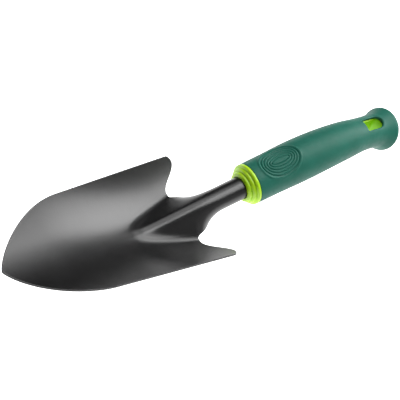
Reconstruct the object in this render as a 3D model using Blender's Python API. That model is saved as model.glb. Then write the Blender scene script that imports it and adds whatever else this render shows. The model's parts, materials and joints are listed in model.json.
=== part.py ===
"""Hand trowel: a pressed steel blade whose neck is rolled into a tubular tang, a moulded
handle core with a stepped collar, and a soft grip sleeve moulded over the core.

Everything is shaped in the tool frame: +X along the tube towards the butt, +Z up out of the
scoop, and the origin where the tube enters the collar. The finished tool is then pitched
until it lies on its belly and its butt, with the origin on the ground under its middle.
"""
import math

import bmesh
import bpy
from mathutils import Matrix, Vector

MM = 0.001

# Sheet, tube and tang
SHEET = 1.2 * MM                 # thickness of the steel
TUBE_RADIUS = 7.75 * MM          # outside of the rolled tube
SEAM_GAP = 1.2 * MM              # open seam along the underside of the tube
TANG_LENGTH = 62.0 * MM          # tube hidden in the handle core
NECK_LENGTH = 45.3 * MM          # from the notches to the collar
ROLL_LENGTH = 27.0 * MM          # over which the neck closes into a tube

# Outline of the pan
STRAIGHT_LENGTH = 84.7 * MM      # from the notches to where the nose begins
NOSE_LENGTH = 60.2 * MM
NOSE_FULLNESS = 0.8              # below 1 is a rounder nose
HALF_WIDTH_AT_NOSE = 35.7 * MM
HALF_WIDTH_AT_NOTCH = 40.6 * MM
EAR_REACH = 14.5 * MM            # how far the ears stand back from the notches
EAR_INNER_Y = 20.5 * MM          # where the rear edge of an ear leaves the notch
EAR_OUTER_Y = 38.0 * MM          # where it reaches its full length
EAR_CORNER = 4.5 * MM            # radius of the outer rear corner
NOTCH_HALF_WIDTH = 17.5 * MM     # centre line to the bottom of a notch
NOTCH_FILLET = 4.0 * MM          # between the notch and the side of the neck
NECK_TRIM = 3.0 * MM             # each side of the neck is cut back this much beside the notch

# Pressed shape of the pan, heights of the middle of the sheet
RIM_HEIGHT_AT_NOTCH = 8.3 * MM
RIM_RISE = 0.339                 # the rims climb towards the tip
PAN_DEPTH_NOSE = 9.9 * MM
PAN_DEPTH_REAR = 17.4 * MM
DEEPENING_START = 24.0 * MM      # behind the start of the nose
DEEPENING_LENGTH = 40.0 * MM

# Ridge that carries the neck into the pan, and the pocket pressed around its root
CREST_RISE_LENGTH = 28.0 * MM    # forward of it the crest falls away
CREST_FALL = 0.030
CREST_FLAT = 1.2 * MM
CREST_ROUND = 1.4 * MM
FLANK_SLOPE = 0.90
ROOT_ROUND = 1.0 * MM
POCKET_LENGTH = 43.0 * MM        # forward from the notches
POCKET_HALF_WIDTH = 17.9 * MM    # at the notches
POCKET_DEPTH = 3.2 * MM
POCKET_EDGE = 0.30               # softness of the pocket's edge

# Handle
FIT = 0.3 * MM                   # clearance between neighbouring pieces
HANDLE_LENGTH = 134.2 * MM       # collar face to butt
BUTT_DROP = 18.2 * MM            # the centre line falls this far at the butt
DROP_POWER = 3.5
COLLAR_LENGTH = 7.0 * MM
COLLAR_STEPS = 3
COLLAR_LIP = 2.5 * MM            # face of the collar, from its bore out
COLLAR_ROUND = 1.5 * MM
# Share of the grip's length behind the collar, and its radius there in mm
GRIP_STATIONS = ((0.0, 14.3), (0.14, 14.5), (0.32, 15.0), (0.50, 14.5),
                 (0.68, 13.2), (0.80, 11.9), (0.92, 12.4), (1.0, 16.0))
BUTT_ROUND = 2.2 * MM            # rounded edge of the butt
SLEEVE_WALL = 2.5 * MM
BUTT_WALL = 3.0 * MM
KEY_DEPTH = 1.0 * MM             # rings around the core that lock the sleeve
KEY_LENGTH = 5.0 * MM
KEY_STATIONS = (0.22, 0.40, 0.58)

# Hanging slot
SLOT_WIDTH = 10.0 * MM
SLOT_LENGTH = 18.0 * MM
SLOT_TO_BUTT = 7.6 * MM          # from the end of the slot to the butt
SLOT_LIP = 0.5 * MM              # the core's slot is this much smaller all round
SLOT_CORNER = 1.0 * MM
CORE_REAR_CORNER = 2.5 * MM      # keeps the core's flat end wall clear of the sleeve's rounder end
SLOT_END_FULLNESS = 0.98         # radius of the sleeve's rear corners over half the slot's width
CUTTER_REACH = 2.0               # the slot's cutter over the grip's radius

# Fineness of the solids
PAN_ROWS = 26
SIDE_COLUMNS = 8                 # from a notch to the rim
STRIP_COLUMNS = 8                # from the crest to a notch
COLUMN_CROWDING = 1.6            # above 1 the side columns crowd towards the rim
FILLET_ROWS = 4
ROLL_ROWS = 11
TUBE_ROWS = 3
GRIP_ROWS = 26
AROUND = 32
ROUND_STEPS = 3                  # on a rounded step of the collar
BUTT_STEPS = 4                   # on the rounded edge of the butt
CORNER_STEPS = 6                 # on a corner of the slot

# Accuracy of what is worked out by stepping
SECTION_STEPS = 80
SECTION_MARGIN = 1.6             # the pressed section is read this much further out than a notch
STEPS_PER_POINT = 6
EDGE_PASSES = 8
PITCH_LIMIT = math.radians(30)
PITCH_HALVINGS = 40

# Finish: colour, roughness
BLACK_COATED_STEEL = ((0.012, 0.012, 0.013), 0.42)
LIME_PLASTIC = ((0.47, 0.76, 0.01), 0.35)
GREEN_RUBBER = ((0.01, 0.13, 0.10), 0.6)
CUTTER_GREY = ((0.5, 0.5, 0.5), 0.5)
SHARP_ANGLE = math.radians(35)

NOTCH_X = -NECK_LENGTH
NOSE_X = NOTCH_X - STRAIGHT_LENGTH
MID_RADIUS = TUBE_RADIUS - SHEET / 2


def smooth(t):
    t = min(max(t, 0.0), 1.0)
    return t * t * (3 - 2 * t)


def blend(a, b, t):
    return a + (b - a) * t


def soft_max(a, b, radius):
    return (a + b + math.sqrt((a - b) ** 2 + radius ** 2)) / 2


def straight_half_width(x):
    """Half-width of the straight rims, carried on past the nose."""
    return blend(HALF_WIDTH_AT_NOTCH, HALF_WIDTH_AT_NOSE, (NOTCH_X - x) / STRAIGHT_LENGTH)


def front_x(share):
    """Front end of the column that runs at this share of the half-width."""
    return NOSE_X - NOSE_LENGTH * math.sqrt(max(0.0, 1 - abs(share) ** (1 / NOSE_FULLNESS)))


def rear_x(y):
    """Rear edge of the pan: the bottom of a notch, then the S-shaped back of an ear."""
    y = abs(y)
    back = EAR_REACH * smooth((y - EAR_INNER_Y) / (EAR_OUTER_Y - EAR_INNER_Y))
    corner_start = straight_half_width(NOTCH_X + EAR_REACH) - EAR_CORNER
    lean = min(max(0.0, (y - corner_start) / EAR_CORNER), 1.0)
    return NOTCH_X + back - EAR_CORNER * (1 - math.sqrt(1 - lean ** 2))


def pan_height(x, y):
    """The pressed trough without its ridge."""
    deepened = smooth((x - NOSE_X - DEEPENING_START) / DEEPENING_LENGTH)
    depth = blend(PAN_DEPTH_NOSE, PAN_DEPTH_REAR, deepened)
    rim = RIM_HEIGHT_AT_NOTCH + RIM_RISE * (NOTCH_X - x)
    return rim - depth * (1 - (y / straight_half_width(x)) ** 2)


def pocket_drop(x, y):
    """Shallow pocket with a parabolic outline around the root of the ridge."""
    inside = (x - NOTCH_X) / POCKET_LENGTH + 1 - (y / POCKET_HALF_WIDTH) ** 2
    return POCKET_DEPTH * smooth(inside / POCKET_EDGE)


def crest_height(x):
    return MID_RADIUS - CREST_FALL * max(0.0, -CREST_RISE_LENGTH - x)


def sheet_height(x, y):
    """Middle of the sheet anywhere in the pan."""
    off_crest = max(0.0, abs(y) - CREST_FLAT)
    flank = FLANK_SLOPE * (math.sqrt(off_crest ** 2 + CREST_ROUND ** 2) - CREST_ROUND)
    return soft_max(pan_height(x, y) - pocket_drop(x, y), crest_height(x) - flank, ROOT_ROUND)


def section_of_sheet(x, reach):
    """Arc length, slope angle and y of the sheet's section at x, from the crest out to reach."""
    step = reach / SECTION_STEPS
    arc = 0.0
    table = [(0.0, 0.0, 0.0)]
    for k in range(1, SECTION_STEPS + 1):
        y = k * step
        arc += math.hypot(step, sheet_height(x, y - step) - sheet_height(x, y))
        fall = sheet_height(x, y - step / 2) - sheet_height(x, y + step / 2)
        table.append((arc, math.atan2(fall, step), y))
    return table


def look_up(table, key, column, where=0):
    """Linear interpolation in a table of rows sorted by the entry at where."""
    for low, high in zip(table, table[1:]):
        if key <= high[where]:
            share = (key - low[where]) / (high[where] - low[where])
            return blend(low[column], high[column], share)
    return table[-1][column]


def neck_points(x, arc_shares):
    """Right half of the neck's section at x, which rolls from the ridge into the tube."""
    table = section_of_sheet(x, NOTCH_HALF_WIDTH * SECTION_MARGIN)
    rolled = smooth((x - NOTCH_X) / ROLL_LENGTH)
    at_notch = look_up(section_of_sheet(NOTCH_X, NOTCH_HALF_WIDTH), NOTCH_HALF_WIDTH, 0, where=2)
    beside_seam = math.pi * MID_RADIUS - SEAM_GAP / 2 - NECK_TRIM * (1 - rolled ** 3)
    into_fillet = min((x - NOTCH_X) / NOTCH_FILLET, 1.0)
    reach = blend(at_notch, beside_seam, math.sqrt(1 - (1 - into_fillet) ** 2))
    y, z, arc = 0.0, sheet_height(x, 0.0), 0.0
    z = blend(z, MID_RADIUS, rolled)
    points = [Vector((x, y, z))]
    for share in arc_shares[1:]:
        step = (share * reach - arc) / STEPS_PER_POINT
        for _ in range(STEPS_PER_POINT):
            middle = arc + step / 2
            angle = blend(look_up(table, middle, 1), middle / MID_RADIUS, rolled)
            y += step * math.cos(angle)
            z -= step * math.sin(angle)
            arc += step
        points.append(Vector((x, y, z)))
    return points


def pan_columns():
    """Shares of the half-width at the notches, from the crest out to the rim."""
    notch_share = NOTCH_HALF_WIDTH / HALF_WIDTH_AT_NOTCH
    strip = [notch_share * k / STRIP_COLUMNS for k in range(STRIP_COLUMNS + 1)]
    side = []
    for k in range(1, SIDE_COLUMNS + 1):
        back = 1 - k / SIDE_COLUMNS
        side.append(1 - (1 - notch_share) * back ** COLUMN_CROWDING)
    return strip + side


def column_start_end(share):
    """Front and rear x of the column at this share of the half-width."""
    x = NOTCH_X
    for _ in range(EDGE_PASSES):
        x = rear_x(share * straight_half_width(x))
    return front_x(share), x


def blade_sheet():
    """The middle surface of the blade as an open grid of quads."""
    mesh = bmesh.new()
    shares = pan_columns()
    columns = []
    for share in [-s for s in reversed(shares[1:])] + shares:
        front, rear = column_start_end(share)
        column = []
        for row in range(PAN_ROWS + 1):
            x = blend(front, rear, row / PAN_ROWS)
            y = share * straight_half_width(x)
            column.append(mesh.verts.new((x, y, sheet_height(x, y))))
        columns.append(column)
    centre = len(shares) - 1
    table = section_of_sheet(NOTCH_X, NOTCH_HALF_WIDTH)
    on_strip = [s * HALF_WIDTH_AT_NOTCH for s in shares[:STRIP_COLUMNS + 1]]
    arcs = [look_up(table, y, 0, where=2) for y in on_strip]
    arc_shares = [arc / arcs[-1] for arc in arcs]
    for x in neck_row_places():
        half = neck_points(x, arc_shares)
        for k, point in enumerate(half):
            columns[centre + k].append(mesh.verts.new(point))
            if k:
                columns[centre - k].append(mesh.verts.new((point.x, -point.y, point.z)))
    for left, right in zip(columns, columns[1:]):
        for row in range(min(len(left), len(right)) - 1):
            mesh.faces.new((left[row], right[row], right[row + 1], left[row + 1]))
    return mesh


def neck_row_places():
    """Rows behind the notches: close together at the fillet, then even, then along the tube."""
    places = [NOTCH_X + NOTCH_FILLET * (k / FILLET_ROWS) ** 2 for k in range(1, FILLET_ROWS + 1)]
    start = places[-1]
    roll_end = NOTCH_X + ROLL_LENGTH
    places += [blend(start, roll_end, k / ROLL_ROWS) for k in range(1, ROLL_ROWS + 1)]
    places += [blend(roll_end, TANG_LENGTH, k / TUBE_ROWS) for k in range(1, TUBE_ROWS + 1)]
    return places


def grip_radius(x):
    """Outside radius of the grip: a smooth curve through the named stations."""
    length = HANDLE_LENGTH - COLLAR_LENGTH
    share = min(max((x - COLLAR_LENGTH) / length, 0.0), 1.0)
    points = [(s, r * MM) for s, r in GRIP_STATIONS]
    slopes = []
    for k in range(len(points)):
        before = points[max(k - 1, 0)]
        after = points[min(k + 1, len(points) - 1)]
        slopes.append((after[1] - before[1]) / (after[0] - before[0]))
    for k in range(len(points) - 1):
        s0, r0 = points[k]
        s1, r1 = points[k + 1]
        if share <= s1:
            u = (share - s0) / (s1 - s0)
            width = s1 - s0
            return (r0 * (1 + 2 * u) * (1 - u) ** 2 + slopes[k] * width * u * (1 - u) ** 2
                    + r1 * u * u * (3 - 2 * u) + slopes[k + 1] * width * u * u * (u - 1))
    return points[-1][1]


def centre_z(x):
    return -BUTT_DROP * (max(x, 0.0) / HANDLE_LENGTH) ** DROP_POWER


def centre_slope(x):
    steepest = -BUTT_DROP * DROP_POWER / HANDLE_LENGTH
    return steepest * (max(x, 0.0) / HANDLE_LENGTH) ** (DROP_POWER - 1)


def ring_points(x, radius):
    """A circle square to the handle's centre line."""
    tilt = math.atan(centre_slope(x))
    points = []
    for k in range(AROUND):
        angle = 2 * math.pi * k / AROUND
        up = radius * math.cos(angle)
        side = radius * math.sin(angle)
        points.append(Vector((x - up * math.sin(tilt), side, centre_z(x) + up * math.cos(tilt))))
    return points


def loft(mesh, rings):
    """Quads between successive rings, with a flat cap at each end."""
    loops = [[mesh.verts.new(point) for point in ring] for ring in rings]
    for a, b in zip(loops, loops[1:]):
        for k in range(len(a)):
            n = (k + 1) % len(a)
            mesh.faces.new((a[k], a[n], b[n], b[k]))
    mesh.faces.new(list(reversed(loops[0])))
    mesh.faces.new(loops[-1])


def rounded_butt(x_end, radius_at, edge):
    """Rings that round the edge of a flat end."""
    rings = []
    for k in range(1, BUTT_STEPS + 1):
        angle = math.pi / 2 * k / BUTT_STEPS
        x = x_end - edge + edge * math.sin(angle)
        rings.append((x, radius_at(x) - edge * (1 - math.cos(angle))))
    return rings


def core_radius(x):
    """Outside of the core under the sleeve, with the rings that key into it."""
    radius = grip_radius(x) - SLEEVE_WALL - FIT
    for share in KEY_STATIONS:
        away = abs(x - share * HANDLE_LENGTH)
        radius += KEY_DEPTH * smooth((KEY_LENGTH / 2 + KEY_DEPTH - away) / KEY_DEPTH)
    return radius


def collar_rings():
    """Stepped and rounded collar, from the face back to the sleeve."""
    rings = []
    face_radius = TUBE_RADIUS + FIT + COLLAR_LIP
    for step in range(COLLAR_STEPS):
        radius = blend(face_radius, grip_radius(COLLAR_LENGTH), step / (COLLAR_STEPS - 1))
        start = COLLAR_LENGTH * step / COLLAR_STEPS
        for k in range(ROUND_STEPS + 1):
            angle = math.pi / 2 * k / ROUND_STEPS
            rings.append((start + COLLAR_ROUND * (1 - math.cos(angle)),
                          radius - COLLAR_ROUND * (1 - math.sin(angle))))
        rings.append((start + COLLAR_LENGTH / COLLAR_STEPS, radius))
    return rings


def handle_core():
    """Closed body from the collar to just short of the butt, bored for the tang."""
    mesh = bmesh.new()
    profile = collar_rings()
    first = COLLAR_LENGTH + FIT / 2
    last = HANDLE_LENGTH - BUTT_WALL - FIT
    for k in range(GRIP_ROWS + 1):
        x = blend(first, last - BUTT_ROUND, k / GRIP_ROWS)
        profile.append((x, core_radius(x)))
    profile += rounded_butt(last, core_radius, BUTT_ROUND)
    loft(mesh, [ring_points(x, radius) for x, radius in profile])
    return mesh


def sleeve_shell():
    """Cup that wraps the core: outer skin, butt, and an inner skin that clears the core."""
    mesh = bmesh.new()
    first = COLLAR_LENGTH + FIT
    outer = []
    inner = []
    for k in range(GRIP_ROWS + 1):
        x = blend(first, HANDLE_LENGTH - BUTT_ROUND, k / GRIP_ROWS)
        outer.append((x, grip_radius(x)))
    outer += rounded_butt(HANDLE_LENGTH, grip_radius, BUTT_ROUND)
    inner_end = HANDLE_LENGTH - BUTT_WALL
    for k in range(GRIP_ROWS + 1):
        x = blend(first, inner_end - BUTT_ROUND, k / GRIP_ROWS)
        inner.append((x, core_radius(x) + FIT))
    inner += rounded_butt(inner_end, lambda x: core_radius(x) + FIT, BUTT_ROUND)
    path = list(reversed(outer)) + inner
    loft(mesh, [ring_points(x, radius) for x, radius in path])
    return mesh


def tidy_normals(mesh):
    bmesh.ops.recalc_face_normals(mesh, faces=mesh.faces)
    return mesh


def new_object(name, mesh, finish):
    data = bpy.data.meshes.new(name)
    mesh.to_mesh(data)
    mesh.free()
    data.shade_smooth()
    data.set_sharp_from_angle(angle=SHARP_ANGLE)
    material = bpy.data.materials.new(name)
    material.use_nodes = True
    shader = material.node_tree.nodes["Principled BSDF"]
    colour, roughness = finish
    shader.inputs["Base Color"].default_value = (*colour, 1.0)
    shader.inputs["Roughness"].default_value = roughness
    shader.inputs["Metallic"].default_value = 0.0
    data.materials.append(material)
    piece = bpy.data.objects.new(name, data)
    bpy.context.scene.collection.objects.link(piece)
    return piece


def cut(piece, name, mesh):
    """Cut a piece with a hidden solid."""
    cutter = new_object(name, tidy_normals(mesh), CUTTER_GREY)
    cutter.hide_render = True
    cutter.display_type = "WIRE"
    modifier = piece.modifiers.new(name, "BOOLEAN")
    modifier.operation = "DIFFERENCE"
    modifier.solver = "EXACT"
    modifier.object = cutter
    return cutter


def tang_bore_cutter():
    mesh = bmesh.new()
    radius = TUBE_RADIUS + FIT
    rings = []
    for x in (-COLLAR_LENGTH, TANG_LENGTH + FIT):
        ring = []
        for k in range(AROUND):
            angle = 2 * math.pi * (k + 0.5) / AROUND
            ring.append(Vector((x, radius * math.sin(angle), radius * math.cos(angle))))
        rings.append(ring)
    loft(mesh, rings)
    return mesh


def slot_outline(shrink, rear_corner):
    """Slot seen along its own direction, straight at the front and rounded at the rear."""
    rear = SLOT_LENGTH / 2 - shrink
    side = SLOT_WIDTH / 2 - shrink
    corners = ((-rear, -side, SLOT_CORNER), (rear, -side, rear_corner),
               (rear, side, rear_corner), (-rear, side, SLOT_CORNER))
    points = []
    for number, (x, y, radius) in enumerate(corners):
        radius = min(radius, side * SLOT_END_FULLNESS)
        centre_x = x - math.copysign(radius, x)
        centre_y = y - math.copysign(radius, y)
        for k in range(CORNER_STEPS + 1):
            angle = math.pi + math.pi / 2 * (number + k / CORNER_STEPS)
            points.append((centre_x + radius * math.cos(angle), centre_y + radius * math.sin(angle)))
    return points


def slot_cutter(shrink, rear_corner):
    """Prism through the grip, square to the handle's overall line."""
    mesh = bmesh.new()
    lean = math.atan2(BUTT_DROP, HANDLE_LENGTH)
    centre_x = HANDLE_LENGTH - SLOT_TO_BUTT - SLOT_LENGTH / 2
    turn = Matrix.Translation((centre_x, 0, centre_z(centre_x))) @ Matrix.Rotation(lean, 4, "Y")
    reach = CUTTER_REACH * grip_radius(centre_x)
    rings = []
    for height in (-reach, reach):
        rings.append([turn @ Vector((x, y, height)) for x, y in slot_outline(shrink, rear_corner)])
    loft(mesh, rings)
    return mesh


def rest_pitch(groups):
    """Pitch that brings the lowest point of the blade and of the handle to one level."""
    low, high = -PITCH_LIMIT, PITCH_LIMIT
    for _ in range(PITCH_HALVINGS):
        pitch = (low + high) / 2
        lowest = [min(p.z * math.cos(pitch) - p.x * math.sin(pitch) for p in group) for group in groups]
        if lowest[0] > lowest[1]:
            high = pitch
        else:
            low = pitch
    return pitch


def settle(blade, handle, cutters):
    """Parent the pieces to an empty that lays the tool at rest, centred over the origin."""
    bpy.context.view_layer.update()
    graph = bpy.context.evaluated_depsgraph_get()
    groups = []
    for pieces in (blade, handle):
        shapes = [piece.evaluated_get(graph).data for piece in pieces]
        groups.append([vertex.co.copy() for shape in shapes for vertex in shape.vertices])
    pitch = rest_pitch(groups)
    turn = Matrix.Rotation(pitch, 4, "Y")
    placed = [turn @ p for group in groups for p in group]
    middle_x = (min(p.x for p in placed) + max(p.x for p in placed)) / 2
    ground = min(p.z for p in placed)
    rest = bpy.data.objects.new("rest", None)
    rest.matrix_world = Matrix.Translation((-middle_x, 0, -ground)) @ turn
    bpy.context.scene.collection.objects.link(rest)
    for piece in blade + handle + cutters:
        piece.parent = rest


def main():
    for old in list(bpy.data.objects):
        bpy.data.objects.remove(old, do_unlink=True)
    blade = new_object("blade", tidy_normals(blade_sheet()), BLACK_COATED_STEEL)
    thicken = blade.modifiers.new("sheet", "SOLIDIFY")
    thicken.thickness = SHEET
    thicken.offset = 0.0
    thicken.use_even_offset = True
    core = new_object("handle_core", tidy_normals(handle_core()), LIME_PLASTIC)
    sleeve = new_object("grip_sleeve", tidy_normals(sleeve_shell()), GREEN_RUBBER)
    cutters = [cut(core, "tang_bore", tang_bore_cutter()),
               cut(core, "core_slot", slot_cutter(SLOT_LIP, CORE_REAR_CORNER)),
               cut(sleeve, "sleeve_slot", slot_cutter(0.0, SLOT_WIDTH / 2))]
    settle([blade], [core, sleeve], cutters)


main()
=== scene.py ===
"""Looks of the hand trowel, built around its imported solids.

Every piece is shaped in the tool frame: +X along the tube towards the butt, +Z up out of the
scoop, and the origin where the tube enters the collar. The record's butt face says how that
frame lies at rest. Sizes are in metres.
"""
import json
import math

import bmesh
import bpy
from mathutils import Matrix, Quaternion, Vector
from mathutils.kdtree import KDTree


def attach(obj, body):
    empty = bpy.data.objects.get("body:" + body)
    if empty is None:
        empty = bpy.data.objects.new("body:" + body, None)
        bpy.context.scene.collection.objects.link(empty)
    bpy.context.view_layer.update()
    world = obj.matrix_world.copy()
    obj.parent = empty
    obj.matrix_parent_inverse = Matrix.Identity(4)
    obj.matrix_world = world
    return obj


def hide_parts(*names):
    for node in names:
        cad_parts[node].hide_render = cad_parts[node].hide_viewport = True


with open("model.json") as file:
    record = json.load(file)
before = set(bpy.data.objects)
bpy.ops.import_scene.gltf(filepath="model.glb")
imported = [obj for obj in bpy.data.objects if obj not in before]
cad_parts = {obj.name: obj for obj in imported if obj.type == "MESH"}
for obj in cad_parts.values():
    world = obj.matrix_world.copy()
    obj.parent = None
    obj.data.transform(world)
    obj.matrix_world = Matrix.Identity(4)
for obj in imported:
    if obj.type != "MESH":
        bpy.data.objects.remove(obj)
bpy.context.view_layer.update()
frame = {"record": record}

MM = 0.001

# Sheet, tube and tang
SHEET = 1.2 * MM
EDGE_ROUND = 0.45 * MM           # the coated edges of the sheet are rounded this much
TUBE_RADIUS = 7.75 * MM
SEAM_GAP = 1.2 * MM
TANG_LENGTH = 62.0 * MM
NECK_LENGTH = 45.3 * MM
ROLL_LENGTH = 27.0 * MM

# Outline of the pan
STRAIGHT_LENGTH = 84.7 * MM
NOSE_LENGTH = 60.2 * MM
NOSE_FULLNESS = 0.8
HALF_WIDTH_AT_NOSE = 35.7 * MM
HALF_WIDTH_AT_NOTCH = 40.6 * MM
EAR_REACH = 14.5 * MM
EAR_INNER_Y = 20.5 * MM
EAR_OUTER_Y = 38.0 * MM
EAR_CORNER = 4.5 * MM
NOTCH_HALF_WIDTH = 17.5 * MM
NOTCH_FILLET = 4.0 * MM
NECK_TRIM = 3.0 * MM             # taken off the neck's edges where it leaves the notches
NECK_TRIM_POWER = 3

# Pressed shape of the pan, heights of the middle of the sheet
RIM_HEIGHT_AT_NOTCH = 8.3 * MM
RIM_RISE = 0.339
PAN_DEPTH_NOSE = 9.9 * MM
PAN_DEPTH_REAR = 17.4 * MM
DEEPENING_START = -20.0 * MM
DEEPENING_LENGTH = 95.0 * MM

# Ridge, and the low foot and wide fillet around its root
CREST_RISE_LENGTH = 28.0 * MM
CREST_FALL = 0.030
CREST_FLAT = 1.2 * MM
CREST_ROUND = 1.4 * MM
FLANK_SLOPE = 0.80
ROOT_ROUND = 3.2 * MM
FOOT_LENGTH = 45.0 * MM
FOOT_HALF_WIDTH = 18.8 * MM
FOOT_FULLNESS = 2.5
FOOT_HEIGHT = 0.9 * MM
FOOT_EDGE = 6.0 * MM            # width over which the foot rises
FOOT_EDGE_POWER = 1.4

# Handle
FIT = 0.3 * MM
HANDLE_LENGTH = 134.2 * MM
BUTT_DROP = 18.2 * MM
DROP_POWER = 3.5
COLLAR_LENGTH = 7.0 * MM
COLLAR_STEPS = 3
COLLAR_LIP = 2.5 * MM
COLLAR_ROUND = 1.5 * MM
# Share of the grip's length behind the collar, and its radius there in mm
GRIP_STATIONS = ((0.0, 14.3), (0.14, 14.5), (0.32, 15.0), (0.50, 14.5),
                 (0.68, 13.2), (0.80, 11.9), (0.92, 12.4), (1.0, 16.0))
BUTT_ROUND = 2.2 * MM
SLEEVE_WALL = 2.5 * MM
SLEEVE_EDGE = 0.5 * MM           # rounded front edge of the sleeve
BUTT_WALL = 3.0 * MM

# Hanging slot
SLOT_WIDTH = 10.0 * MM
SLOT_LENGTH = 18.0 * MM
SLOT_TO_BUTT = 7.6 * MM
SLOT_LIP = 0.5 * MM
SLOT_CORNER = 1.0 * MM
CORE_REAR_CORNER = 2.5 * MM
SLOT_ROUND = 0.9 * MM            # the rubber rolls into the slot over this radius
CORE_SLOT_ROUND = 0.3 * MM

# Thumb pad: ring 0 is the outermost groove, and each ring lies inside the last
PAD_X = 29.4 * MM
PAD_RINGS = 5
PAD_LONG = 14.5 * MM
PAD_LONG_STEP = 1.87 * MM
PAD_SHORT = 10.6 * MM
PAD_SHORT_STEP = 2.15 * MM
GROOVE_DEPTH = 0.5 * MM
GROOVE_SHARE = 0.30              # half-width of a groove over the step between rings
BEAD_HEIGHT = 0.35 * MM
BEAD_CENTRE = -0.75              # the bead around the pad, in rings from the outermost groove
BEAD_SHARE = 0.55
OUTSIDE_RING = -3.0              # surely outside the pad and its bead
RING_BISECTIONS = 20
SMALLEST_HALF = 0.1 * MM

# Fineness of the shown meshes
PAN_ROWS = 120
SIDE_COLUMNS = 30
STRIP_COLUMNS = 30
COLUMN_CROWDING = 2.0
FILLET_ROWS = 10
ROLL_ROWS = 40
TUBE_ROWS = 24
EDGE_STEPS = 4
SECTION_STEPS = 80
SECTION_MARGIN = 1.6
STEPS_PER_POINT = 2
EDGE_PASSES = 8                  # passes that settle where a column meets the rear edge

NOTCH_X = -NECK_LENGTH
NOSE_X = NOTCH_X - STRAIGHT_LENGTH
MID_RADIUS = TUBE_RADIUS - SHEET / 2


def smooth(t):
    t = min(max(t, 0.0), 1.0)
    return t * t * (3 - 2 * t)


def blend(a, b, t):
    return a + (b - a) * t


def soft_max(a, b, radius):
    return (a + b + math.sqrt((a - b) ** 2 + radius ** 2)) / 2


def evenly(start, end, steps):
    """Places after start, up to and including end."""
    return [blend(start, end, k / steps) for k in range(1, steps + 1)]


# The blade's surface

def straight_half_width(x):
    """Half-width of the straight rims, carried on past the nose."""
    return blend(HALF_WIDTH_AT_NOTCH, HALF_WIDTH_AT_NOSE, (NOTCH_X - x) / STRAIGHT_LENGTH)


def front_x(share):
    """Front end of the column that runs at this share of the half-width."""
    return NOSE_X - NOSE_LENGTH * math.sqrt(max(0.0, 1 - abs(share) ** (1 / NOSE_FULLNESS)))


def rear_x(y):
    """Rear edge of the pan: the bottom of a notch, then the S-shaped back of an ear."""
    y = abs(y)
    back = EAR_REACH * smooth((y - EAR_INNER_Y) / (EAR_OUTER_Y - EAR_INNER_Y))
    corner_start = straight_half_width(NOTCH_X + EAR_REACH) - EAR_CORNER
    lean = min(max(0.0, (y - corner_start) / EAR_CORNER), 1.0)
    return NOTCH_X + back - EAR_CORNER * (1 - math.sqrt(1 - lean ** 2))


def pan_height(x, y):
    """The pressed trough without its ridge."""
    deepened = smooth((x - NOSE_X - DEEPENING_START) / DEEPENING_LENGTH)
    depth = blend(PAN_DEPTH_NOSE, PAN_DEPTH_REAR, deepened)
    rim = RIM_HEIGHT_AT_NOTCH + RIM_RISE * (NOTCH_X - x)
    return rim - depth * (1 - (y / straight_half_width(x)) ** 2)


def foot_rise(x, y):
    """Low step with a rounded outline around the root of the ridge."""
    across = abs(y) / FOOT_HALF_WIDTH
    inside = 1 + (x - NOTCH_X) / FOOT_LENGTH - across ** FOOT_FULLNESS
    steepness_across = FOOT_FULLNESS * across ** (FOOT_FULLNESS - 1) / FOOT_HALF_WIDTH
    from_outline = inside / math.hypot(1 / FOOT_LENGTH, steepness_across)
    return FOOT_HEIGHT * min(max(from_outline / FOOT_EDGE, 0.0), 1.0) ** FOOT_EDGE_POWER


def crest_height(x):
    return MID_RADIUS - CREST_FALL * max(0.0, -CREST_RISE_LENGTH - x)


def sheet_height(x, y):
    """Middle of the sheet anywhere in the pan."""
    off_crest = max(0.0, abs(y) - CREST_FLAT)
    flank = FLANK_SLOPE * (math.sqrt(off_crest ** 2 + CREST_ROUND ** 2) - CREST_ROUND)
    return soft_max(pan_height(x, y) + foot_rise(x, y), crest_height(x) - flank, ROOT_ROUND)


def section_of_sheet(x, reach):
    """Arc length, slope angle and y of the sheet's section at x, from the crest out to reach."""
    step = reach / SECTION_STEPS
    arc = 0.0
    table = [(0.0, 0.0, 0.0)]
    for k in range(1, SECTION_STEPS + 1):
        y = k * step
        arc += math.hypot(step, sheet_height(x, y - step) - sheet_height(x, y))
        fall = sheet_height(x, y - step / 2) - sheet_height(x, y + step / 2)
        table.append((arc, math.atan2(fall, step), y))
    return table


def look_up(table, key, column, where=0):
    """Linear interpolation in a table of rows sorted by the entry at where."""
    for low, high in zip(table, table[1:]):
        if key <= high[where]:
            share = (key - low[where]) / (high[where] - low[where])
            return blend(low[column], high[column], share)
    return table[-1][column]


def neck_points(x, arc_shares):
    """Right half of the neck's section at x, which rolls from the ridge into the tube."""
    table = section_of_sheet(x, NOTCH_HALF_WIDTH * SECTION_MARGIN)
    rolled = smooth((x - NOTCH_X) / ROLL_LENGTH)
    at_notch = look_up(section_of_sheet(NOTCH_X, NOTCH_HALF_WIDTH), NOTCH_HALF_WIDTH, 0, where=2)
    beside_seam = math.pi * MID_RADIUS - SEAM_GAP / 2 - NECK_TRIM * (1 - rolled ** NECK_TRIM_POWER)
    into_fillet = min((x - NOTCH_X) / NOTCH_FILLET, 1.0)
    reach = blend(at_notch, beside_seam, math.sqrt(1 - (1 - into_fillet) ** 2))
    y, z, arc = 0.0, sheet_height(x, 0.0), 0.0
    z = blend(z, MID_RADIUS, rolled)
    points = [Vector((x, y, z))]
    for share in arc_shares[1:]:
        step = (share * reach - arc) / STEPS_PER_POINT
        for _ in range(STEPS_PER_POINT):
            middle = arc + step / 2
            angle = blend(look_up(table, middle, 1), middle / MID_RADIUS, rolled)
            y += step * math.cos(angle)
            z -= step * math.sin(angle)
            arc += step
        points.append(Vector((x, y, z)))
    return points


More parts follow.
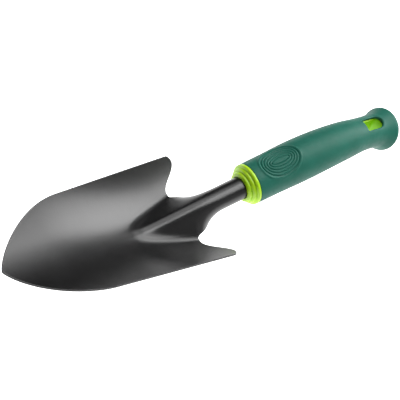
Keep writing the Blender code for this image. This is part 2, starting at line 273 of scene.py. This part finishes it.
def pan_columns():
    """Shares of the half-width at the notches, from the crest out to the rim."""
    notch_share = NOTCH_HALF_WIDTH / HALF_WIDTH_AT_NOTCH
    strip = [notch_share * k / STRIP_COLUMNS for k in range(STRIP_COLUMNS + 1)]
    side = []
    for k in range(1, SIDE_COLUMNS + 1):
        back = 1 - k / SIDE_COLUMNS
        side.append(1 - (1 - notch_share) * back ** COLUMN_CROWDING)
    return strip + side


def column_start_end(share):
    """Front and rear x of the column at this share of the half-width."""
    x = NOTCH_X
    for _ in range(EDGE_PASSES):
        x = rear_x(share * straight_half_width(x))
    return front_x(share), x


def neck_row_places():
    """Rows behind the notches: close together at the fillet, then even, then along the tube."""
    places = [NOTCH_X + NOTCH_FILLET * (k / FILLET_ROWS) ** 2 for k in range(1, FILLET_ROWS + 1)]
    roll_end = NOTCH_X + ROLL_LENGTH
    places += evenly(places[-1], roll_end, ROLL_ROWS)
    places += evenly(roll_end, TANG_LENGTH, TUBE_ROWS)
    return places


def blade_sheet():
    """Points and upward-facing quads of the blade's middle surface."""
    shares = pan_columns()
    centre = len(shares) - 1
    points = []
    columns = []

    def add(place):
        points.append(Vector(place))
        return len(points) - 1

    for share in [-s for s in reversed(shares[1:])] + shares:
        front, rear = column_start_end(share)
        column = []
        for x in [front] + evenly(front, rear, PAN_ROWS):
            y = share * straight_half_width(x)
            column.append(add((x, y, sheet_height(x, y))))
        columns.append(column)
    table = section_of_sheet(NOTCH_X, NOTCH_HALF_WIDTH)
    arcs = [look_up(table, s * HALF_WIDTH_AT_NOTCH, 0, where=2) for s in shares[:STRIP_COLUMNS + 1]]
    arc_shares = [arc / arcs[-1] for arc in arcs]
    for x in neck_row_places():
        for k, point in enumerate(neck_points(x, arc_shares)):
            columns[centre + k].append(add(point))
            if k:
                columns[centre - k].append(add((point.x, -point.y, point.z)))
    quads = []
    for left, right in zip(columns, columns[1:]):
        for row in range(min(len(left), len(right)) - 1):
            quads.append((left[row], left[row + 1], right[row + 1], right[row]))
    return points, quads


def edge_profile():
    """Height and outward reach of the rounded edge, from the upper skin to the lower."""
    profile = []
    for k in range(1, EDGE_STEPS + 1):
        angle = math.pi / 2 * k / EDGE_STEPS
        profile.append((SHEET / 2 - EDGE_ROUND * (1 - math.cos(angle)), EDGE_ROUND * math.sin(angle)))
    lower = [(-height, reach) for height, reach in reversed(profile)]
    return profile + lower


def blade_mesh():
    """The sheet with both skins and a rounded edge all round, and how far each point is from it."""
    points, quads = blade_sheet()
    normals = [Vector() for _ in points]
    for a, b, c, d in quads:
        face = (points[c] - points[a]).cross(points[d] - points[b])
        for corner in (a, b, c, d):
            normals[corner] += face
    for normal in normals:
        normal.normalize()
    edges = set()
    for quad in quads:
        edges.update(zip(quad, quad[1:] + quad[:1]))
    border = [(a, b) for a, b in edges if (b, a) not in edges]
    outward = {}
    for a, b in border:
        away = (points[b] - points[a]).normalized().cross(normals[a])
        for corner in (a, b):
            outward[corner] = outward.get(corner, Vector()) + away
    rim = KDTree(len(outward))
    for corner in outward:
        rim.insert(points[corner], corner)
    rim.balance()
    inset = {corner: away.normalized() for corner, away in outward.items()}
    count = len(points)
    spots = [p + n * SHEET / 2 for p, n in zip(points, normals)]
    spots += [p - n * SHEET / 2 for p, n in zip(points, normals)]
    nearness = [rim.find(p)[2] for p in points] * 2
    faces = list(quads) + [tuple(count + k for k in reversed(quad)) for quad in quads]
    chains = {}
    for corner, away in inset.items():
        chain = [corner]
        for height, reach in edge_profile():
            spots.append(points[corner] + normals[corner] * height + away * (reach - EDGE_ROUND))
            nearness.append(0.0)
            chain.append(len(spots) - 1)
        chain.append(count + corner)
        chains[corner] = chain
    for corner, away in inset.items():
        for skin in (corner, count + corner):
            spots[skin] = spots[skin] - away * EDGE_ROUND
    for a, b in border:
        for k in range(len(chains[a]) - 1):
            faces.append((chains[a][k], chains[a][k + 1], chains[b][k + 1], chains[b][k]))
    return spots, faces, nearness


# The handle's surface

def grip_radius(x):
    """Outside radius of the grip: a smooth curve through the named stations."""
    length = HANDLE_LENGTH - COLLAR_LENGTH
    share = min(max((x - COLLAR_LENGTH) / length, 0.0), 1.0)
    points = [(s, r * MM) for s, r in GRIP_STATIONS]
    slopes = []
    for k in range(len(points)):
        before = points[max(k - 1, 0)]
        after = points[min(k + 1, len(points) - 1)]
        slopes.append((after[1] - before[1]) / (after[0] - before[0]))
    for k in range(len(points) - 1):
        s0, r0 = points[k]
        s1, r1 = points[k + 1]
        if share <= s1:
            u = (share - s0) / (s1 - s0)
            width = s1 - s0
            return (r0 * (1 + 2 * u) * (1 - u) ** 2 + slopes[k] * width * u * (1 - u) ** 2
                    + r1 * u * u * (3 - 2 * u) + slopes[k + 1] * width * u * u * (u - 1))
    return points[-1][1]


def core_radius(x):
    return grip_radius(x) - SLEEVE_WALL - FIT


def sleeve_bore(x):
    return grip_radius(x) - SLEEVE_WALL


def centre_z(x):
    return -BUTT_DROP * (max(x, 0.0) / HANDLE_LENGTH) ** DROP_POWER


def centre_slope(x):
    steepest = -BUTT_DROP * DROP_POWER / HANDLE_LENGTH
    return steepest * (max(x, 0.0) / HANDLE_LENGTH) ** (DROP_POWER - 1)


def around(x, angle, radius):
    """Point at this angle from the top around the handle's centre line."""
    tilt = math.atan(centre_slope(x))
    up = radius * math.cos(angle)
    return Vector((x - up * math.sin(tilt), radius * math.sin(angle), centre_z(x) + up * math.cos(tilt)))


SLOT_X = HANDLE_LENGTH - SLOT_TO_BUTT - SLOT_LENGTH / 2
SLOT_CENTRE = Vector((SLOT_X, 0, centre_z(SLOT_X)))
HANDLE_LEAN = math.atan2(BUTT_DROP, HANDLE_LENGTH)
SLOT_ALONG = Vector((math.cos(HANDLE_LEAN), 0, -math.sin(HANDLE_LEAN)))


def in_slot_plane(point):
    """How far along and across the slot a point lies, seen down the slot."""
    return (point - SLOT_CENTRE).dot(SLOT_ALONG), point.y


def slot_distance(along, across, shrink, rear_corner):
    """Distance outside the slot's outline, negative inside."""
    corner = min(rear_corner if along > 0 else SLOT_CORNER, SLOT_WIDTH / 2 - shrink)
    over_along = abs(along) - (SLOT_LENGTH / 2 - shrink) + corner
    over_across = abs(across) - (SLOT_WIDTH / 2 - shrink) + corner
    outside = math.hypot(max(over_along, 0.0), max(over_across, 0.0))
    return outside + min(max(over_along, over_across), 0.0) - corner


# Skins of the handle: a grid over rows and angles, left open in windows where the slot comes through

WINDOW_REACH = 3.4 * MM          # a window stands this far off the slot's ends
WINDOW_ANGLE = math.radians(42)  # and spans this much to each side
ANGLE_SLACK = 3e-4               # radians
PAD_REACH = 16.6 * MM            # the fine rows under the thumb pad reach this far each way
PAD_ROWS = 110
PLAIN_ROWS = 34
WINDOW_ROWS = 30
BUTT_ROWS = 8
ROUND_STEPS = 6
SLEEVE_TOP_COLUMNS = 74
SLEEVE_SIDE_COLUMNS = 28
CORE_TOP_COLUMNS = 30
CORE_SIDE_COLUMNS = 14
WINDOW_BOTTOM_COLUMNS = 30
PATCH_RINGS = 16
PATCH_CROWDING = 2.4             # rings of a patch crowd towards the slot
BISECTIONS = 40
SETTLING_STEPS = 12
WALL_STEPS = 4


def ring_angles(top_columns, side_columns, bottom_columns):
    """Angles around the handle from one side of the top window, round to where it began."""
    angles = [-WINDOW_ANGLE] + evenly(-WINDOW_ANGLE, WINDOW_ANGLE, top_columns)
    angles += evenly(WINDOW_ANGLE, math.pi - WINDOW_ANGLE, side_columns)
    angles += evenly(math.pi - WINDOW_ANGLE, math.pi + WINDOW_ANGLE, bottom_columns)
    angles += evenly(math.pi + WINDOW_ANGLE, 2 * math.pi - WINDOW_ANGLE, side_columns)
    return angles[:-1]


def handle_rows(first, last, front_round, butt_round):
    """Rows along a handle skin as (x, radius taken off). Without a front round the front is square."""
    window = (SLOT_X - SLOT_LENGTH / 2 - WINDOW_REACH, SLOT_X + SLOT_LENGTH / 2 + WINDOW_REACH)
    rows = []
    for k in range(ROUND_STEPS if front_round else 0):
        angle = math.pi / 2 * k / ROUND_STEPS
        rows.append((first + front_round * (1 - math.cos(angle)), front_round * (1 - math.sin(angle))))
    pad_start, pad_end = PAD_X - PAD_REACH, PAD_X + PAD_REACH
    places = [first + front_round] + evenly(first + front_round, pad_start, BUTT_ROWS)
    places += evenly(pad_start, pad_end, PAD_ROWS)
    places += evenly(pad_end, window[0], PLAIN_ROWS)
    window_first = len(rows) + len(places) - 1
    places += evenly(window[0], window[1], WINDOW_ROWS)
    window_last = len(rows) + len(places) - 1
    places += evenly(window[1], last - butt_round, BUTT_ROWS)
    rows += [(x, 0.0) for x in places]
    for k in range(1, ROUND_STEPS + 1):
        angle = math.pi / 2 * k / ROUND_STEPS
        x = last - butt_round + butt_round * math.sin(angle)
        rows.append((x, butt_round * (1 - math.cos(angle))))
    return rows, window_first, window_last


def window_loop(row_first, row_last, column_low, column_high):
    """Corner-to-corner loop of (row, column) around a window, starting where along and across are low."""
    step = 1 if column_high > column_low else -1
    loop = [(row, column_low) for row in range(row_first, row_last)]
    loop += [(row_last, column) for column in range(column_low, column_high, step)]
    loop += [(row, column_high) for row in range(row_last, row_first, -1)]
    loop += [(row_first, column) for column in range(column_high, column_low, -step)]
    return loop


def outline_spot(direction, upper, radius_at, shrink, rear_corner):
    """x and angle where a skin meets the slot's outline in this direction from the slot's middle."""
    near, far = 0.0, SLOT_LENGTH
    for _ in range(BISECTIONS):
        reach = (near + far) / 2
        if slot_distance(direction[0] * reach, direction[1] * reach, shrink, rear_corner) > 0:
            far = reach
        else:
            near = reach
    along, across = direction[0] * near, direction[1] * near
    x = SLOT_X
    for _ in range(SETTLING_STEPS):
        angle = math.asin(across / radius_at(x))
        if not upper:
            angle = math.pi - angle
        x += along - in_slot_plane(around(x, angle, radius_at(x)))[0]
    return x, angle


def slot_patch(mesh, loop, spots, upper, radius_at, shrink, rear_corner, fillet):
    """Fills a window down to the slot's edge, which rolls in over the fillet. Returns the inner loop."""
    count = len(loop)
    inner = []
    for _, (x, angle) in loop:
        along, across = in_slot_plane(around(x, angle, radius_at(x)))
        length = math.hypot(along, across)
        inner.append(outline_spot((along / length, across / length), upper, radius_at, shrink, rear_corner))
    rings = [[spots[key] for key, _ in loop]]
    for ring in range(PATCH_RINGS - 1, -1, -1):
        share = (ring / PATCH_RINGS) ** PATCH_CROWDING
        points = []
        for (x0, angle0), (_, (x1, angle1)) in zip(inner, loop):
            x, angle = blend(x0, x1, share), blend(angle0, angle1, share)
            off = slot_distance(*in_slot_plane(around(x, angle, radius_at(x))), shrink, rear_corner)
            into = min(max(fillet - off, 0.0), fillet)
            sink = fillet - math.sqrt(fillet ** 2 - into ** 2)
            points.append(mesh.verts.new(around(x, angle, radius_at(x) - sink)))
        rings.append(points)
    for outer_ring, inner_ring in zip(rings, rings[1:]):
        for k in range(count):
            n = (k + 1) % count
            mesh.faces.new((outer_ring[k], outer_ring[n], inner_ring[n], inner_ring[k]))
    return rings[-1]


def add_skin(mesh, rows, angles, radius_at, relief, slot, fillet):
    """One skin of the handle with both slot windows. Returns its first ring, last ring and slot loops."""
    rows, window_first, window_last = rows
    shrink, rear_corner = slot
    top = [k for k, angle in enumerate(angles) if angle <= WINDOW_ANGLE]
    bottom = [k for k, angle in enumerate(angles) if abs(angle - math.pi) <= WINDOW_ANGLE + ANGLE_SLACK]
    windows = ((True, top[0], top[-1]), (False, bottom[-1], bottom[0]))
    spots = {}

    def open_here(row, column):
        if not window_first < row < window_last:
            return False
        return any(min(low, high) < column < max(low, high) for _, low, high in windows)

    for row, (x, off) in enumerate(rows):
        for column, angle in enumerate(angles):
            if not open_here(row, column):
                radius = radius_at(x) - off + relief(x, angle)
                spots[row, column] = mesh.verts.new(around(x, angle, radius))
    for row in range(len(rows) - 1):
        for column in range(len(angles)):
            beside = (column + 1) % len(angles)
            corners = ((row, column), (row, beside), (row + 1, beside), (row + 1, column))
            inside_rows = window_first <= row < window_last
            inside_columns = any(min(low, high) <= column < max(low, high) for _, low, high in windows)
            if not (inside_rows and inside_columns):
                mesh.faces.new([spots[corner] for corner in corners])
    loops = []
    for upper, low, high in windows:
        loop = []
        for row, column in window_loop(window_first, window_last, low, high):
            loop.append(((row, column), (rows[row][0], angles[column])))
        loops.append(slot_patch(mesh, loop, spots, upper, radius_at, shrink, rear_corner, fillet))
    first = [spots[0, column] for column in range(len(angles))]
    last = [spots[len(rows) - 1, column] for column in range(len(angles))]
    return first, last, loops


def bridge(mesh, loop_a, loop_b, steps=1):
    """Quads between two loops of the same count, in this many steps."""
    previous = loop_a
    for step in range(1, steps + 1):
        if step == steps:
            current = loop_b
        else:
            share = step / steps
            current = [mesh.verts.new(a.co.lerp(b.co, share)) for a, b in zip(loop_a, loop_b)]
        for k in range(len(current)):
            n = (k + 1) % len(current)
            mesh.faces.new((previous[k], previous[n], current[n], current[k]))
        previous = current


def no_relief(x, angle):
    return 0.0


def pad_ring(along, across):
    """Which ring of the thumb pad passes here: 0 on the outermost groove, more inside it."""
    outside, inside = OUTSIDE_RING, PAD_RINGS
    for _ in range(RING_BISECTIONS):
        ring = (outside + inside) / 2
        long_half = PAD_LONG - PAD_LONG_STEP * ring
        short_half = max(PAD_SHORT - PAD_SHORT_STEP * ring, SMALLEST_HALF)
        if (along / long_half) ** 2 + (across / short_half) ** 2 < 1:
            outside = ring
        else:
            inside = ring
    return (outside + inside) / 2


def pad_relief(x, angle):
    """Grooves of the thumb pad and the low bead around them."""
    across = (angle if angle < math.pi else angle - 2 * math.pi) * grip_radius(x)
    along = x - PAD_X
    if abs(along) > PAD_REACH or abs(across) > PAD_SHORT + 2 * PAD_SHORT_STEP:
        return 0.0
    ring = pad_ring(along, across)
    relief = 0.0
    from_bead = abs(ring - BEAD_CENTRE) / BEAD_SHARE
    if from_bead < 1:
        relief += BEAD_HEIGHT * (1 + math.cos(math.pi * from_bead)) / 2
    groove = min(max(round(ring), 0), PAD_RINGS - 1)
    from_groove = abs(ring - groove) / GROOVE_SHARE
    if from_groove < 1:
        relief -= GROOVE_DEPTH * (1 + math.cos(math.pi * from_groove)) / 2
    return relief


def sleeve_mesh():
    """The soft sleeve: outer skin with thumb pad, butt, bore, and the slot's walls through it."""
    mesh = bmesh.new()
    angles = ring_angles(SLEEVE_TOP_COLUMNS, SLEEVE_SIDE_COLUMNS, WINDOW_BOTTOM_COLUMNS)
    first = COLLAR_LENGTH + FIT
    slot = (0.0, SLOT_WIDTH / 2)
    outer_rows = handle_rows(first, HANDLE_LENGTH, SLEEVE_EDGE, BUTT_ROUND)
    inner_rows = handle_rows(first, HANDLE_LENGTH - BUTT_WALL, 0.0, BUTT_ROUND)
    outer = add_skin(mesh, outer_rows, angles, grip_radius, pad_relief, slot, SLOT_ROUND)
    inner = add_skin(mesh, inner_rows, angles, sleeve_bore, no_relief, slot, 0.0)
    bridge(mesh, outer[0], inner[0])
    mesh.faces.new(outer[1])
    mesh.faces.new(inner[1])
    for outer_loop, inner_loop in zip(outer[2], inner[2]):
        bridge(mesh, outer_loop, inner_loop, WALL_STEPS)
    return mesh


def collar_rings():
    """Stepped collar with rounded steps, from its face back to the sleeve, as (x, radius)."""
    rings = []
    face_radius = TUBE_RADIUS + FIT + COLLAR_LIP
    for step in range(COLLAR_STEPS):
        radius = blend(face_radius, grip_radius(COLLAR_LENGTH), step / (COLLAR_STEPS - 1))
        start = COLLAR_LENGTH * step / COLLAR_STEPS
        for k in range(ROUND_STEPS + 1):
            angle = math.pi / 2 * k / ROUND_STEPS
            rings.append((start + COLLAR_ROUND * (1 - math.cos(angle)),
                          radius - COLLAR_ROUND * (1 - math.sin(angle))))
        rings.append((start + COLLAR_LENGTH / COLLAR_STEPS, radius))
    return rings


def core_mesh():
    """The hard core: tang bore, collar, body under the sleeve and the slot through it."""
    mesh = bmesh.new()
    angles = ring_angles(CORE_TOP_COLUMNS, CORE_SIDE_COLUMNS, WINDOW_BOTTOM_COLUMNS)
    slot = (SLOT_LIP, CORE_REAR_CORNER)
    rows = handle_rows(COLLAR_LENGTH + FIT / 2, HANDLE_LENGTH - BUTT_WALL - FIT, 0.0, BUTT_ROUND)
    first, last, slot_loops = add_skin(mesh, rows, angles, core_radius, no_relief, slot, CORE_SLOT_ROUND)
    mesh.faces.new(last)
    bridge(mesh, slot_loops[0], slot_loops[1], WALL_STEPS)
    bore_radius = TUBE_RADIUS + FIT
    rings = []
    for x in (TANG_LENGTH + FIT, 0.0):
        rings.append([(x, bore_radius * math.sin(a), bore_radius * math.cos(a)) for a in angles])
    for x, radius in collar_rings():
        rings.append([around(x, a, radius) for a in angles])
    loops = [[mesh.verts.new(place) for place in ring] for ring in rings]
    mesh.faces.new(loops[0])
    for loop_a, loop_b in zip(loops, loops[1:] + [first]):
        bridge(mesh, loop_a, loop_b)
    return mesh


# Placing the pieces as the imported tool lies

BLADE_SHARP = 60                 # degrees beyond which an edge stays sharp
CORE_SHARP = 30
SLEEVE_SHARP = 40


def rest_matrix():
    """From the tool frame to the row frame, read off the butt face."""
    butt = next(mount for mount in frame["record"]["mounts"] if mount["name"] == "butt_face")
    tilt = math.atan(centre_slope(HANDLE_LENGTH))
    axis = butt["axis"]
    pitch = tilt - math.atan2(axis[2], axis[0])
    turn = Matrix.Rotation(pitch, 4, "Y")
    offset = Vector(butt["pos_m"]) - turn @ Vector((HANDLE_LENGTH, 0, centre_z(HANDLE_LENGTH)))
    return Matrix.Translation(offset) @ turn


def show(name, data, material, node, sharp_angle):
    """A finished piece that stands for a CAD node."""
    data.validate()
    data.transform(rest_matrix())
    data.shade_smooth()
    data.set_sharp_from_angle(angle=math.radians(sharp_angle))
    data.materials.append(material)
    piece = bpy.data.objects.new(name, data)
    bpy.context.scene.collection.objects.link(piece)
    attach(piece, "root")
    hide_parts(node)


def mesh_from(mesh, name):
    bmesh.ops.recalc_face_normals(mesh, faces=mesh.faces)
    data = bpy.data.meshes.new(name)
    mesh.to_mesh(data)
    mesh.free()
    return data


# Materials

def new_material(name, roughness):
    material = bpy.data.materials.new(name)
    material.use_nodes = True
    shader = material.node_tree.nodes["Principled BSDF"]
    shader.inputs["Roughness"].default_value = roughness
    return material, shader


def add_node(material, kind, settings=(), inputs=()):
    node = material.node_tree.nodes.new(kind)
    for key, value in settings:
        setattr(node, key, value)
    for key, value in inputs:
        node.inputs[key].default_value = value
    return node


def connect(material, out_socket, in_socket):
    material.node_tree.links.new(out_socket, in_socket)


def noise_on(material, cell, detail=2.0):
    """Noise whose cells are this many metres across."""
    place = add_node(material, "ShaderNodeTexCoord")
    noise = add_node(material, "ShaderNodeTexNoise", inputs=(("Scale", 1 / cell), ("Detail", detail)))
    connect(material, place.outputs["Object"], noise.inputs["Vector"])
    return noise.outputs["Fac"]


def between(material, factor, low, high, from_low=0.3, from_high=0.7):
    """A number that follows a factor from low to high."""
    node = add_node(material, "ShaderNodeMapRange", inputs=(
        ("From Min", from_low), ("From Max", from_high), ("To Min", low), ("To Max", high)))
    connect(material, factor, node.inputs["Value"])
    return node.outputs["Result"]


def mix_colours(material, factor, colour_a, colour_b):
    """Colour A where the factor is 0 and B where it is 1. A colour may be a socket."""
    node = add_node(material, "ShaderNodeMix", settings=(("data_type", "RGBA"),))
    connect(material, factor, node.inputs["Factor"])
    for name, colour in (("A", colour_a), ("B", colour_b)):
        socket = next(s for s in node.inputs if s.name == name and s.type == "RGBA")
        if isinstance(colour, bpy.types.NodeSocket):
            connect(material, colour, socket)
        else:
            socket.default_value = (*colour, 1.0)
    return next(s for s in node.outputs if s.type == "RGBA")


def add_bump(material, shader, heights):
    """Stacks bumps of (height socket, distance, strength) onto the shader."""
    previous = None
    for height, distance, strength in heights:
        bump = add_node(material, "ShaderNodeBump", inputs=(("Distance", distance), ("Strength", strength)))
        connect(material, height, bump.inputs["Height"])
        if previous:
            connect(material, previous, bump.inputs["Normal"])
        previous = bump.outputs["Normal"]
    connect(material, previous, shader.inputs["Normal"])


COAT_DARK = (0.003, 0.003, 0.0032)
COAT_LIGHT = (0.006, 0.006, 0.0063)
# painted highlight: the sheet's edges are coloured lighter, over this reach from the rim
COAT_EDGE_HIGHLIGHT = (0.045, 0.045, 0.046)
COAT_HIGHLIGHT_REACH = 0.8 * MM
COAT_MOTTLE = 9.0 * MM           # cell sizes of the noises
COAT_PEEL = 1.3 * MM
COAT_GRAIN = 0.35 * MM
COAT_ROUGHNESS = (0.28, 0.34)
COAT_SPECULAR = 0.5
COAT_PEEL_BUMP = (0.06 * MM, 0.35)   # distance and strength
COAT_GRAIN_BUMP = (0.02 * MM, 0.25)
LIME = (0.50, 0.80, 0.010)
LIME_DEEP = (0.38, 0.72, 0.008)
LIME_CLOUD = 6.0 * MM
LIME_GRAIN = 0.5 * MM
LIME_ROUGHNESS = (0.32, 0.42)
LIME_SUBSURFACE = 0.05
LIME_SUBSURFACE_RADIUS = (1.0, 1.0, 0.2)
LIME_SUBSURFACE_SCALE = 0.8 * MM
LIME_BUMP = (0.02 * MM, 0.3)
RUBBER = (0.007, 0.112, 0.078)
RUBBER_DEEP = (0.005, 0.095, 0.066)
RUBBER_CLOUD = 14.0 * MM
RUBBER_GRAIN = 0.45 * MM
RUBBER_HANDLED = 3.0 * MM
RUBBER_ROUGHNESS = (0.48, 0.60)
RUBBER_SPECULAR = 0.22
RUBBER_BUMP = (0.05 * MM, 0.35)
FLOOR_GREY = (0.2, 0.2, 0.2, 1.0)
WHITE = (1.0, 1.0, 1.0, 1.0)


def coated_steel():
    """Satin black powder coat: orange peel, a little mottle, and a painted highlight: a lighter colour
    along the edges.
    """
    material, shader = new_material("coated_steel", 0.32)
    mottle = noise_on(material, COAT_MOTTLE)
    peel = noise_on(material, COAT_PEEL, detail=1.0)
    grain = noise_on(material, COAT_GRAIN)
    near_edge = add_node(material, "ShaderNodeAttribute", settings=(("attribute_name", "edge_distance"),))
    # painted highlight: the colour turns lighter close to the sheet's edges
    painted_edge_highlight = between(material, near_edge.outputs["Fac"], 1.0, 0.0, 0.0, COAT_HIGHLIGHT_REACH)
    body = mix_colours(material, between(material, mottle, 0.0, 1.0), COAT_DARK, COAT_LIGHT)
    colour = mix_colours(material, painted_edge_highlight, body, COAT_EDGE_HIGHLIGHT)
    connect(material, colour, shader.inputs["Base Color"])
    connect(material, between(material, grain, *COAT_ROUGHNESS), shader.inputs["Roughness"])
    shader.inputs["Specular IOR Level"].default_value = COAT_SPECULAR
    add_bump(material, shader, ((peel, *COAT_PEEL_BUMP), (grain, *COAT_GRAIN_BUMP)))
    return material


def lime_plastic():
    """Satin moulded plastic that lets a little light through."""
    material, shader = new_material("lime_plastic", 0.36)
    cloud = noise_on(material, LIME_CLOUD)
    grain = noise_on(material, LIME_GRAIN)
    colour = mix_colours(material, between(material, cloud, 0.0, 1.0), LIME, LIME_DEEP)
    connect(material, colour, shader.inputs["Base Color"])
    connect(material, between(material, grain, *LIME_ROUGHNESS), shader.inputs["Roughness"])
    shader.inputs["Subsurface Weight"].default_value = LIME_SUBSURFACE
    shader.inputs["Subsurface Radius"].default_value = LIME_SUBSURFACE_RADIUS
    shader.inputs["Subsurface Scale"].default_value = LIME_SUBSURFACE_SCALE
    add_bump(material, shader, ((grain, *LIME_BUMP),))
    return material


def soft_rubber():
    """Matte moulded rubber with the fine spark-eroded grain of its mould."""
    material, shader = new_material("soft_rubber", 0.55)
    cloud = noise_on(material, RUBBER_CLOUD)
    grain = noise_on(material, RUBBER_GRAIN)
    handled = noise_on(material, RUBBER_HANDLED)
    colour = mix_colours(material, between(material, cloud, 0.0, 1.0), RUBBER, RUBBER_DEEP)
    connect(material, colour, shader.inputs["Base Color"])
    connect(material, between(material, handled, *RUBBER_ROUGHNESS), shader.inputs["Roughness"])
    shader.inputs["Specular IOR Level"].default_value = RUBBER_SPECULAR
    add_bump(material, shader, ((grain, *RUBBER_BUMP),))
    return material


def floor_material():
    """White by its own light, so the tool lies on plain white. It is brighter beside the tool."""
    material, shader = new_material("floor", 0.9)
    shader.inputs["Base Color"].default_value = FLOOR_GREY
    shader.inputs["Emission Color"].default_value = WHITE
    place = add_node(material, "ShaderNodeTexCoord")
    length = add_node(material, "ShaderNodeVectorMath", settings=(("operation", "LENGTH"),))
    connect(material, place.outputs["Object"], length.inputs[0])
    glow = between(material, length.outputs["Value"], *FLOOR_GLOW, *FLOOR_FADE)
    connect(material, glow, shader.inputs["Emission Strength"])
    shader.inputs["Specular IOR Level"].default_value = 0.0
    return material


# Studio: a pale floor, soft lights placed by direction from the tool, and the camera.
# The camera's place, target and right are in the tool frame.

FLOOR_SIZE = 6.0
FLOOR_GLOW = (1.9, 1.0)           # beside the tool, and far from it
FLOOR_FADE = (0.15, 0.6)
WORLD_GREY = 0.05
# name, direction towards the light in the tool frame, distance, width, height, brightness, roll
LIGHTS = (
    ("rear_box", (0.944, -0.049, 0.326), 1.3, 0.72, 0.80, 8.5, 22),
    ("top_box", (0.54, -0.10, 0.835), 1.5, 1.10, 0.60, 7.0, 0),
    ("top_wide", (0.37, 0.29, 0.88), 1.6, 1.40, 1.40, 2.2, 0),
    ("side_fill", (0.46, -0.81, 0.20), 1.6, 1.60, 1.20, 0.5, 0),
)
CAMERA_PLACE = Vector((-0.48133, -0.30020, 0.81578))
CAMERA_TARGET = Vector((-0.02980, 0.00464, 0.0))
CAMERA_RIGHT = Vector((0.79848, -0.55433, 0.23482))
LENS_MM = 135.0


def add_floor():
    bpy.ops.mesh.primitive_plane_add(size=FLOOR_SIZE)
    floor = bpy.context.object
    floor.name = "floor"
    floor.data.materials.append(floor_material())


def add_lights():
    """Each softbox is a rectangle that faces the tool; its brightness is radiance in pi units."""
    to_row = rest_matrix()
    for name, direction, distance, width, height, brightness, roll in LIGHTS:
        data = bpy.data.lights.new(name, "AREA")
        data.shape = "RECTANGLE"
        data.size = width
        data.size_y = height
        data.energy = brightness * math.pi * width * height
        lamp = bpy.data.objects.new(name, data)
        bpy.context.scene.collection.objects.link(lamp)
        away = (to_row.to_3x3() @ Vector(direction)).normalized()
        lamp.location = to_row.translation + away * distance
        aim = away.to_track_quat("Z", "Y") @ Quaternion((0, 0, 1), math.radians(roll))
        lamp.rotation_euler = aim.to_euler()
    world = bpy.data.worlds.new("studio")
    world.use_nodes = True
    background = world.node_tree.nodes["Background"]
    background.inputs["Color"].default_value = WHITE
    background.inputs["Strength"].default_value = WORLD_GREY
    bpy.context.scene.world = world


def add_camera():
    data = bpy.data.cameras.new("camera")
    data.lens = LENS_MM
    camera = bpy.data.objects.new("camera", data)
    bpy.context.scene.collection.objects.link(camera)
    forward = (CAMERA_TARGET - CAMERA_PLACE).normalized()
    right = (CAMERA_RIGHT - forward * CAMERA_RIGHT.dot(forward)).normalized()
    axes = Matrix((right, right.cross(forward), -forward)).transposed()
    camera.matrix_world = rest_matrix() @ Matrix.Translation(CAMERA_PLACE) @ axes.to_4x4()
    bpy.context.scene.camera = camera


def add_blade():
    spots, faces, nearness = blade_mesh()
    data = bpy.data.meshes.new("scoop")
    data.from_pydata(spots, [], faces)
    attribute = data.attributes.new("edge_distance", "FLOAT", "POINT")
    attribute.data.foreach_set("value", nearness)
    show("scoop", data, coated_steel(), "blade", BLADE_SHARP)


add_blade()
show("core", mesh_from(core_mesh(), "core"), lime_plastic(), "handle_core", CORE_SHARP)
show("grip", mesh_from(sleeve_mesh(), "grip"), soft_rubber(), "grip_sleeve", SLEEVE_SHARP)
add_floor()
add_lights()
add_camera()
bpy.context.scene.view_settings.view_transform = "Standard"
